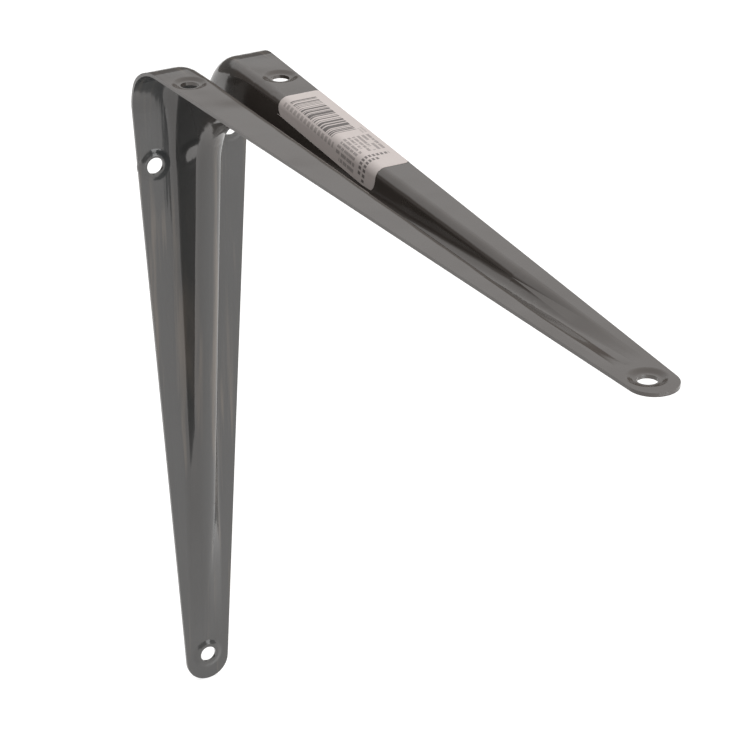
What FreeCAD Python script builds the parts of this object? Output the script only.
import FreeCAD, Part
import math
import os

Vector = FreeCAD.Vector

# A shelf bracket pressed from one piece of painted sheet steel, with a paper label on it.
# The outer corner is the origin: the back of the wall arm lies in the plane X = 0 and runs down,
# the top of the shelf arm lies in the plane Z = 0 and runs along +X. Y = 0 halves the bracket.
# All sizes are in millimetres. A station is the distance from the outer corner along an arm.

# Driving sizes of the blank
wall_arm_length = 254.0
shelf_arm_length = 304.8
sheet_thickness = 1.2
corner_half_width = 23.3        # half the width where the outer faces of the two arms would cross
wall_taper_half_width = 7.9     # half the width that the wall arm's taper aims at, at its tip
shelf_taper_half_width = 7.2    # the same on the shelf arm
bend_radius = 20.5              # outside radius of the bend between the two arms

# Driving sizes of the rib, a channel pressed in from the outer faces
rib_corner_station = 40.0       # where the rib of each arm starts to turn into the corner
rib_corner_depth = 16.4         # depth of the channel at that station
rib_corner_half_width = 9.0     # half the width of the channel's mouth at that station
rib_bend_half_width = 12.0      # the same in the middle of the bend
wall_rib_inset = 18.0           # from the tip of the wall arm to where its rib has run out
shelf_rib_inset = 19.5          # the same on the shelf arm
wall_rib_end_half_width = 6.6
shelf_rib_end_half_width = 5.8
fold_radius = 3.6               # rounding of the channel's mouth, on the outer face
bend_fold_radius = 8.0          # the same in the middle of the bend, where the sheet is drawn more
crest_radius = 4.8              # rounding of the rib's crest, on the inner face

# Driving sizes of the screw holes and the dishes pressed round them
hole_diameter = 6.2
dish_radius = 6.2
dish_floor_radius = 3.7
dish_depth = 0.8
screw_offset = 14.8             # from the middle of the bracket to the holes near the corner
near_station = 32.4             # the two holes nearer to the corner
far_station = 41.3              # the two holes further from the corner
wall_tip_inset = 10.8           # from the tip of the wall arm to the middle of its last hole
shelf_tip_inset = 10.4          # the same on the shelf arm

# Driving sizes of the label
label_start = 59.0              # station of the label's end nearer to the corner
label_length = 69.5
label_width = 19.0              # measured round the fold, from the edge of the sheet
label_thickness = 0.1
label_corner_radius = 3.5       # the two corners in the channel
label_edge_corner_radius = 1.5  # the two corners at the edge of the sheet

# Sections that the lofts run through
shallowest_share = 0.12         # below this share of its depth, the rib keeps its shape and flattens
wall_arm_shares = (0.0, 0.25, 0.5, 0.7, 0.88, 1.0)      # from the corner to the rib's end
shelf_arm_shares = (0.0, 0.3, 0.55, 0.81, 1.0)          # from the label's end to the rib's end
flat_part_shares = (0.0, 0.25, 0.5, 0.75, 1.0)          # in each flat part of the corner
bend_shares = (0.0, 0.17, 0.33, 0.5, 0.67, 0.83, 1.0)   # round the bend
dish_side_shares = (0.0, 0.2, 0.4, 0.6, 0.8, 1.0)       # down the pressed side of a dish


# The two arms

class Arm:
    """One arm: where its outer face lies, which way is inwards, and its taper."""

    def __init__(self, along, inward, length, taper_half_width, rib_inset, rib_end_half_width):
        self.along = along
        self.inward = inward
        self.length = length
        self.taper_half_width = taper_half_width
        self.rib_end = length - rib_inset
        self.rib_end_half_width = rib_end_half_width

    def point(self, station, across=0.0, depth=0.0):
        return self.along * station + Vector(0, across, 0) + self.inward * depth

    def half_width(self, station):
        share = station / self.length
        return corner_half_width + (self.taper_half_width - corner_half_width) * share

    def rib_share(self, station):
        return (self.rib_end - station) / (self.rib_end - rib_corner_station)

    def rib_half_width(self, station):
        rise = rib_corner_half_width - self.rib_end_half_width
        return self.rib_end_half_width + rise * self.rib_share(station)

    def rib_slope(self):
        return rib_corner_depth / (self.rib_end - rib_corner_station)


def between(first, last, shares):
    return [first + (last - first) * share for share in shares]


down = Vector(0, 0, -1)
outwards = Vector(1, 0, 0)
wall_arm = Arm(down, outwards, wall_arm_length, wall_taper_half_width,
               wall_rib_inset, wall_rib_end_half_width)
shelf_arm = Arm(outwards, down, shelf_arm_length, shelf_taper_half_width,
                shelf_rib_inset, shelf_rib_end_half_width)
label_end = label_start + label_length


# The cross section of the rib

class Skin:
    """One face of the sheet across the channel: key points of the half on the +Y side.

    level is the depth of the face below the outer one, so 0 is the outer face itself. The fold
    at the mouth and the crest are arcs, and the wall is the line that touches both. slant is
    how much longer the sheet's thickness is in a plane that cuts it askew.
    """

    def __init__(self, half_mouth, channel_depth, level, slant=1.0, mouth_radius=fold_radius):
        least = rib_corner_depth * shallowest_share
        depth = max(channel_depth, least)
        flatten = min(1.0, channel_depth / least)
        flange = level * slant
        fold = mouth_radius - flange
        crest = crest_radius - sheet_thickness + level
        radii = fold + crest
        rise = depth + level - flange - radii
        ratio = min(1.0, radii / math.hypot(half_mouth, rise))
        slope = math.atan2(rise, half_mouth) + math.asin(ratio)

        def on_fold(turn):
            drop = fold * (1 - math.cos(turn))
            return (half_mouth - fold * math.sin(turn), flange + drop * flatten)

        top = depth + level
        head = top - crest * (1 - math.cos(slope))
        self.is_flat = flatten == 0
        self.flange = flange
        self.mouth = on_fold(0)
        self.fold_middle = on_fold(slope / 2)
        self.foot = on_fold(slope)
        self.head = (crest * math.sin(slope), flange + (head - flange) * flatten)
        self.top = (0.0, flange + (top - flange) * flatten)


def line(start, end):
    return Part.LineSegment(start, end).toShape()


def arc(start, middle, end, is_flat=False):
    if is_flat:
        return line(start, end)
    return Part.Arc(start, middle, end).toShape()


def mirrored(spot):
    return (-spot[0], spot[1])


def skin_edges(place, skin, half_width):
    """The edges of one face of the sheet, from its -Y edge to its +Y edge."""
    edge = (half_width, skin.flange)
    left = [edge, skin.mouth, skin.fold_middle, skin.foot, skin.head]
    left = [place(*mirrored(spot)) for spot in left]
    right = [edge, skin.mouth, skin.fold_middle, skin.foot, skin.head]
    right = [place(*spot) for spot in right]
    return [
        line(left[0], left[1]),
        arc(left[1], left[2], left[3], skin.is_flat),
        line(left[3], left[4]),
        arc(left[4], place(*skin.top), right[4], skin.is_flat),
        line(right[4], right[3]),
        arc(right[3], right[2], right[1], skin.is_flat),
        line(right[1], right[0]),
    ]


def closed_section(place, half_width, outer, inner):
    """The outline of the sheet in one plane: place turns (across, depth) into a point."""
    sides = [line(place(side * half_width, outer.flange), place(side * half_width, inner.flange))
             for side in (1, -1)]
    outer_edges = skin_edges(place, outer, half_width)
    inner_edges = skin_edges(place, inner, half_width)
    return Part.Wire(outer_edges + [sides[0]] + inner_edges[::-1] + [sides[1]])


def arm_skin(arm, station, level):
    depth = rib_corner_depth * arm.rib_share(station)
    return Skin(arm.rib_half_width(station), depth, level)


def arm_section(arm, station):
    def place(across, depth):
        return arm.point(station, across, depth)

    return closed_section(place, arm.half_width(station), arm_skin(arm, station, 0),
                          arm_skin(arm, station, sheet_thickness))


# The corner, cut by planes that all pass through one axis inside the bend

pivot = Vector(rib_corner_station, 0, -rib_corner_station)


def ray(angle):
    """From the pivot outwards: angle 0 points at the wall, 90 degrees at the shelf."""
    return Vector(-math.cos(angle), 0, math.sin(angle))


def reach_to_sheet(angle, inset):
    """Distance from the pivot to the sheet's face that lies inset inside the outer one."""
    radius = bend_radius - inset
    offset = (rib_corner_station - bend_radius) * math.sqrt(2)
    straight = rib_corner_station - inset
    first = math.atan2(rib_corner_station - bend_radius, straight)
    if angle <= first:
        return straight / math.cos(angle)
    if angle >= math.pi / 2 - first:
        return straight / math.sin(angle)
    turn = angle - math.pi / 4
    return offset * math.cos(turn) + math.sqrt(radius ** 2 - (offset * math.sin(turn)) ** 2)


def reach_to_channel(angle):
    """Distance from the pivot to the floor of the channel, which leaves each arm at its slope."""
    share = angle / (math.pi / 2)
    level = rib_corner_station - rib_corner_depth
    swing = level * math.pi / 2
    leave_wall = -swing * wall_arm.rib_slope()
    meet_shelf = swing * shelf_arm.rib_slope()
    return (level + leave_wall * share * (1 - share) ** 2
            - meet_shelf * share ** 2 * (1 - share))


def corner_half_width_at(angle):
    """The blank's taper carried on round the bend."""
    spot = pivot + ray(angle) * reach_to_sheet(angle, 0)
    if angle < math.pi / 4:
        return wall_arm.half_width(-spot.z)
    return shelf_arm.half_width(spot.x)


def blend_in_bend(at_arms, in_bend, angle):
    """A size that holds along the arms and changes to another in the middle of the bend."""
    return at_arms + (in_bend - at_arms) * math.sin(2 * angle) ** 4


def corner_section(angle):
    outer_reach = reach_to_sheet(angle, 0)
    inner_reach = reach_to_sheet(angle, sheet_thickness)
    start = pivot + ray(angle) * outer_reach

    def place(across, depth):
        return start + Vector(0, across, 0) - ray(angle) * depth

    slant = (outer_reach - inner_reach) / sheet_thickness
    channel_depth = outer_reach - reach_to_channel(angle)
    mouth = blend_in_bend(rib_corner_half_width, rib_bend_half_width, angle)
    radius = blend_in_bend(fold_radius, bend_fold_radius, angle)
    outer = Skin(mouth, channel_depth, 0, mouth_radius=radius)
    inner = Skin(mouth, channel_depth, sheet_thickness, slant, radius)
    return closed_section(place, corner_half_width_at(angle), outer, inner)


def corner_solids():
    """Two flat parts and the bend between them, so that the flat faces stay flat."""
    bend_start = math.atan2(rib_corner_station - bend_radius, rib_corner_station)
    bend_end = math.pi / 2 - bend_start
    spans = [(0.0, bend_start, flat_part_shares), (bend_start, bend_end, bend_shares),
             (bend_end, math.pi / 2, flat_part_shares)]
    return [Part.makeLoft([corner_section(angle) for angle in between(*span)], True, False)
            for span in spans]


def arm_solid(arm, stations):
    """The tapered stretch from the corner to where the rib has run out."""
    return Part.makeLoft([arm_section(arm, station) for station in stations], True, True)


def tip_solid(arm):
    """The flat end: the last of the taper, and a round end that touches both sides and the tip."""
    slope = (corner_half_width - arm.taper_half_width) / arm.length
    radius = arm.taper_half_width / (math.hypot(1, slope) - slope)
    middle = arm.length - radius
    lean = math.atan(slope)
    touch_station = middle + radius * math.sin(lean)
    touch_across = radius * math.cos(lean)
    start_across = arm.half_width(arm.rib_end)
    corners = [arm.point(arm.rib_end, start_across), arm.point(touch_station, touch_across),
               arm.point(touch_station, -touch_across), arm.point(arm.rib_end, -start_across)]
    outline = Part.Wire([
        line(corners[0], corners[1]),
        arc(corners[1], arm.point(arm.length), corners[2]),
        line(corners[2], corners[3]),
        line(corners[3], corners[0]),
    ])
    return Part.Face(outline).extrude(arm.inward * sheet_thickness)


# Screw holes

def screw_holes():
    """Each hole as its arm, station and distance from the middle."""
    return [
        (wall_arm, far_station, -screw_offset),
        (wall_arm, near_station, screw_offset),
        (shelf_arm, near_station, -screw_offset),
        (shelf_arm, far_station, screw_offset),
        (wall_arm, wall_arm.length - wall_tip_inset, 0.0),
        (shelf_arm, shelf_arm.length - shelf_tip_inset, 0.0),
    ]


def dish(arm, station, across):
    """A shallow dish pressed inwards round a hole, with the hole left open."""
    centre = arm.point(station, across)
    hole_radius = hole_diameter / 2

    def place(radius, depth):
        return centre + Vector(0, radius, 0) + arm.inward * depth

    def side(level):
        """The pressed side at one face: it leaves the sheet and meets the floor smoothly."""
        return [place(dish_radius + (dish_floor_radius - dish_radius) * share,
                      level + dish_depth * share ** 2 * (3 - 2 * share))
                for share in dish_side_shares]

    rim = [place(hole_radius, dish_depth), place(hole_radius, dish_depth + sheet_thickness)]
    face = side(0.0)
    back = side(sheet_thickness)
    outline = Part.makePolygon(face + rim + back[::-1] + face[:1])
    return Part.Face(outline).revolve(centre, arm.inward, 360)


def bracket():
    wall_stations = between(rib_corner_station, wall_arm.rib_end, wall_arm_shares)
    # The label lies on one stretch of the loft, so that its face and the sheet's are the same one
    shelf_stations = [rib_corner_station, label_start]
    shelf_stations += between(label_end, shelf_arm.rib_end, shelf_arm_shares)
    pieces = corner_solids()
    pieces += [arm_solid(wall_arm, wall_stations), tip_solid(wall_arm)]
    pieces += [arm_solid(shelf_arm, shelf_stations), tip_solid(shelf_arm)]
    body = pieces[0].fuse(pieces[1:])
    for arm, station, across in screw_holes():
        centre = arm.point(station, across)
        body = body.cut(Part.makeCylinder(dish_radius, sheet_thickness, centre, arm.inward))
        body = body.fuse(dish(arm, station, across))
    return body.Solids[0]


# The label

def label_reach(station):
    """How deep in the channel the label's lower edge lies: its width, measured round the fold."""
    skin = arm_skin(shelf_arm, station, 0)
    on_flange = shelf_arm.half_width(station) - skin.mouth[0]
    slope = math.atan2(skin.head[1] - skin.foot[1], skin.foot[0] - skin.head[0])
    on_wall = label_width - on_flange - fold_radius * slope
    return skin.foot[1] + on_wall * math.sin(slope)


def label_section(station):
    """The label's outline across the arm, from the sheet's edge to the head of the wall."""
    def place(across, depth):
        return shelf_arm.point(station, across, depth)

    half_width = shelf_arm.half_width(station)
    under = skin_edges(place, arm_skin(shelf_arm, station, 0), half_width)[4:]
    over = skin_edges(place, arm_skin(shelf_arm, station, -label_thickness), half_width)[4:]
    inner_end = line(under[0].Vertexes[0].Point, over[0].Vertexes[0].Point)
    outer_end = line(under[-1].Vertexes[-1].Point, over[-1].Vertexes[-1].Point)
    return Part.Wire(under + [outer_end] + over[::-1] + [inner_end])


def corner_cutter(corner, one, other, through, radius):
    """What a rounded corner leaves off: one and other point along the edges that meet there."""
    start = corner + one * radius
    end = corner + other * radius
    middle = corner + (one + other) * radius * (1 - math.sqrt(0.5))
    outline = Part.Wire([line(corner, start), Part.Arc(start, middle, end).toShape(),
                         line(end, corner)])
    reach = through * label_width
    return Part.Face(outline).translated(reach * -1).extrude(reach * 2)


def label():
    body = Part.makeLoft([label_section(label_start), label_section(label_end)], True, True)
    low = [shelf_arm.point(station, 0, label_reach(station)) for station in (label_start, label_end)]
    floor = shelf_arm.inward * bend_radius
    below = Part.Face(Part.makePolygon([low[0], low[1], low[1] + floor, low[0] + floor, low[0]]))
    body = body.cut(below.extrude(Vector(0, corner_half_width, 0)))
    side = Vector(0, 1, 0)
    up = shelf_arm.inward * -1
    for spot, station, way in ((low[0], label_start, 1), (low[1], label_end, -1)):
        along = shelf_arm.along * way
        body = body.cut(corner_cutter(spot, along, up, side, label_corner_radius))
        edge = shelf_arm.point(station, shelf_arm.half_width(station))
        body = body.cut(corner_cutter(edge, along, side * -1, up, label_edge_corner_radius))
    return body.Solids[0]


os.makedirs("parts", exist_ok=True)
solids = {"bracket_pressing": bracket(), "paper_label": label()}
for name, solid in solids.items():
    solid.exportStep(f"parts/{name}.step")
    print(name, solid.ShapeType, solid.isValid(), round(solid.Volume, 1), solid.BoundBox)
